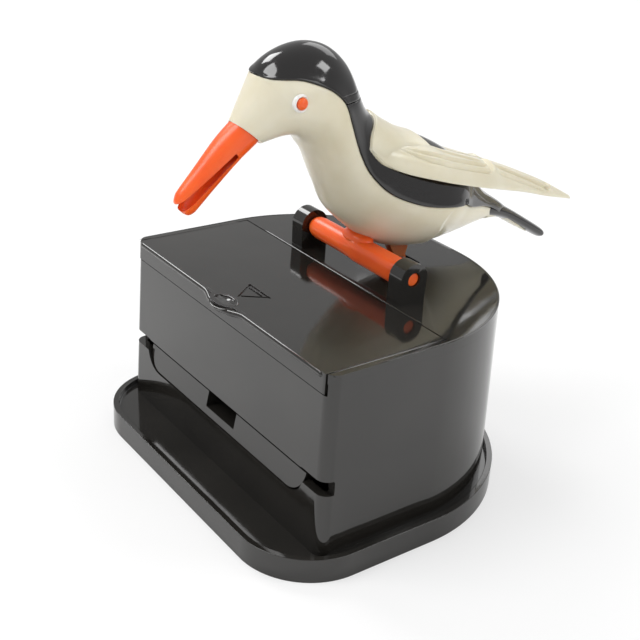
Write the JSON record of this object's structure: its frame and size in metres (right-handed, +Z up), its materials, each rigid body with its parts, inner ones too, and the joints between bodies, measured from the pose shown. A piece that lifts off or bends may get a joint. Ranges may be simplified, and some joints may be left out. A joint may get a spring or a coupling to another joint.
{
  "type": "toothpick dispenser",
  "caption": "Toothpick dispenser: a box with a sliding lid and a perched bird that bows to push one toothpick out on a tray.",
  "frame": {"origin": "middle of the base's underside, on the table", "axes": "+Z up, +Y from the front with the tray to the back, +X to the right seen from the front"},
  "size_m": [0.0836, 0.1114, 0.0945],
  "materials": {
    "black_plastic": "high gloss black",
    "inner_black": "satin black, inside the box",
    "steel": "bright wire",
    "lever_orange": "dull brownish orange",
    "orange_plastic": "glossy orange",
    "cream_plastic": "glossy ivory",
    "bird_black": "glossy black",
    "eye_white": "glossy white"
  },
  "bodies": {
    "housing": {"base_plate": "black_plastic", "box_shell": "black_plastic", "top_cover": "black_plastic", "hopper_chute": "inner_black", "hopper_back": "inner_black", "tray_rail_left": "inner_black", "tray_rail_right": "inner_black", "rocker_bracket": "inner_black", "rocker_axle": "steel", "return_spring": "steel", "base_screws": "steel"},
    "lid": {"lid": "black_plastic"},
    "bird": {"perch_rod": "orange_plastic", "perch_saddle": "orange_plastic", "lever": "lever_orange", "belly_shell": "cream_plastic", "crown_cap": "bird_black", "back_shell": "bird_black", "wings": "cream_plastic", "beak": "orange_plastic", "eye_rings": "eye_white", "eye_pupils": "orange_plastic"},
    "link": {"link_wire": "steel"},
    "rocker": {"rocker": "lever_orange"},
    "tray": {"toothpick_tray": "black_plastic"}
  },
  "joints": [
    {"name": "lid_slide", "type": "slide", "parent": "housing", "child": "lid", "axis": [0, -1, 0], "range_m": [0, 0.052]},
    {"name": "bird_bow", "type": "hinge", "parent": "housing", "child": "bird", "pos_m": [0, 0.0067, 0.0486], "axis": [1, 0, 0], "range_deg": [0, 58], "stiffness_Nm_per_rad": 0.02, "springref_deg": -17.19},
    {"name": "link_turn", "type": "hinge", "parent": "bird", "child": "link", "pos_m": [0, 0.0192, 0.0439], "axis": [1, 0, 0], "range_deg": [-58, 0]},
    {"name": "rocker_turn", "type": "hinge", "parent": "housing", "child": "rocker", "pos_m": [0, 0.0042, 0.0116], "axis": [1, 0, 0], "range_deg": [0, 58]},
    {"name": "tray_slide", "type": "slide", "parent": "housing", "child": "tray", "axis": [0, -1, 0], "range_m": [0, 0.0076]}
  ],
  "couplings": [
    {"joint": "link_turn", "follows": "bird_bow", "ratio": -1},
    {"joint": "rocker_turn", "follows": "bird_bow", "ratio": 1},
    {"joint": "tray_slide", "follows": "bird_bow", "m_per_rad": 0.0075077}
  ]
}
